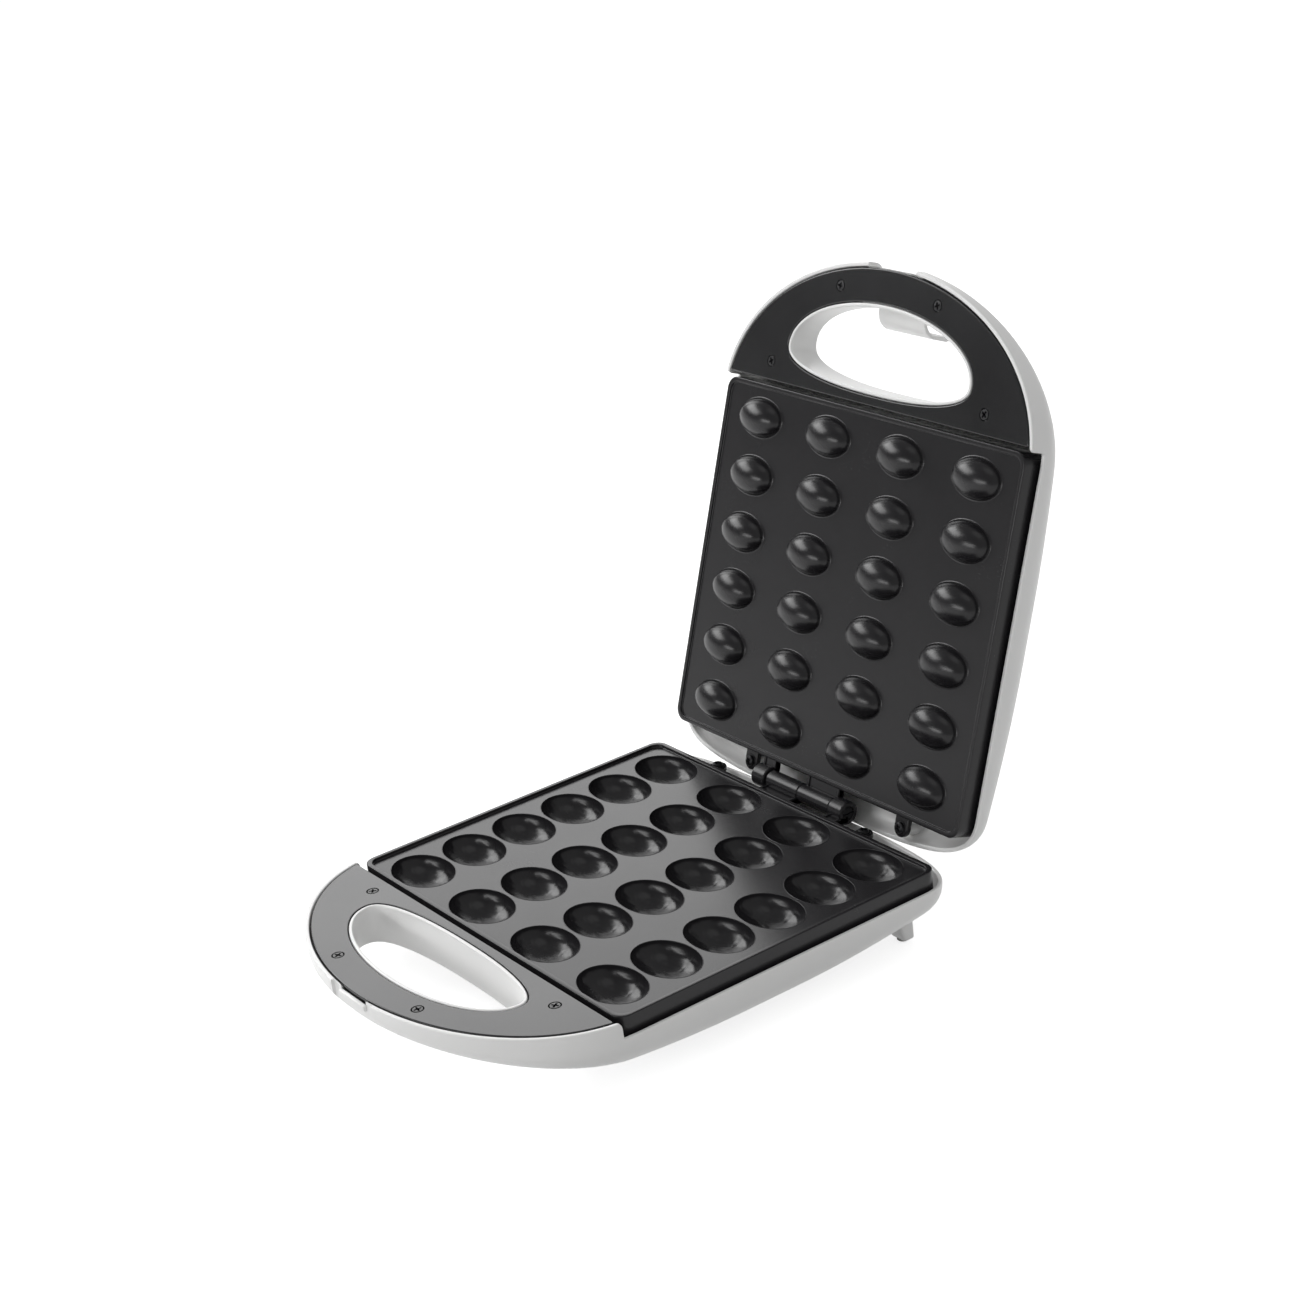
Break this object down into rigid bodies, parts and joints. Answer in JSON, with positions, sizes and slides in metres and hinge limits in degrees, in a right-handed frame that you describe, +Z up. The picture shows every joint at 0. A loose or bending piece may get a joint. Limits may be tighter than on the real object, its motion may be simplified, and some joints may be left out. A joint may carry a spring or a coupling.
{
  "type": "nut cookie maker",
  "caption": "Electric clamshell baking appliance with hinged non-stick plates, oval wells and domes, two cut-out handles and a flip-over latch.",
  "frame": {"origin": "centre of the footprint of the open machine, on the surface that its feet stand on", "axes": "+X to the right seen from the handle side, +Y from the base handle to the hinge, +Z up"},
  "size_m": [0.2424, 0.3958, 0.3081],
  "materials": {
    "white_shell": "satin moulded white plastic",
    "black_trim": "satin black heat-proof plastic",
    "cooking_plate": "cast plate with a dark grey non-stick coat",
    "black_screw": "black oxide, cross recess",
    "steel": "plain zinc-plated",
    "element": "heat-tinted sheath",
    "reflector": "bright rolled sheet",
    "foot_rubber": "matt grey",
    "dark_rubber": "matt black",
    "terminal": "unglazed cream",
    "lamp_red": "clear-dyed polished lens",
    "lamp_green": "clear-dyed polished lens"
  },
  "bodies": {
    "base": {"base_shell": "white_shell", "base_handle_trim": "black_trim", "base_plate": "cooking_plate", "base_heating_element": "element", "base_reflector": "reflector", "base_trim_screw_front_left": "black_screw", "base_trim_screw_front_right": "black_screw", "base_trim_screw_rear_left": "black_screw", "base_trim_screw_rear_right": "black_screw", "base_plate_screw_left": "black_screw", "base_plate_screw_right": "black_screw", "hinge_pin": "steel", "terminal_block": "terminal", "thermal_fuse": "steel", "cord_gland": "dark_rubber", "foot_front_left": "foot_rubber", "foot_front_right": "foot_rubber", "foot_rear_left": "foot_rubber", "foot_rear_right": "foot_rubber"},
    "lid": {"lid_shell": "white_shell", "lid_handle_trim": "black_trim", "lid_plate": "cooking_plate", "lid_heating_element": "element", "lid_reflector": "reflector", "lid_trim_screw_front_left": "black_screw", "lid_trim_screw_front_right": "black_screw", "lid_trim_screw_rear_left": "black_screw", "lid_trim_screw_rear_right": "black_screw", "lid_plate_screw_left": "black_screw", "lid_plate_screw_right": "black_screw", "thermostat": "steel", "lamp_power": "lamp_red", "lamp_ready": "lamp_green", "latch_pin": "steel"},
    "latch": {"latch": "white_shell"}
  },
  "joints": [
    {"name": "lid_hinge", "type": "hinge", "parent": "base", "child": "lid", "pos_m": [0, 0.08521, 0.04], "axis": [1, 0, 0], "range_deg": [0, 108.5]},
    {"name": "latch_pivot", "type": "hinge", "parent": "lid", "child": "latch", "pos_m": [0, 0.18109, 0.28873], "axis": [1, 0, 0], "range_deg": [0, 180]}
  ]
}
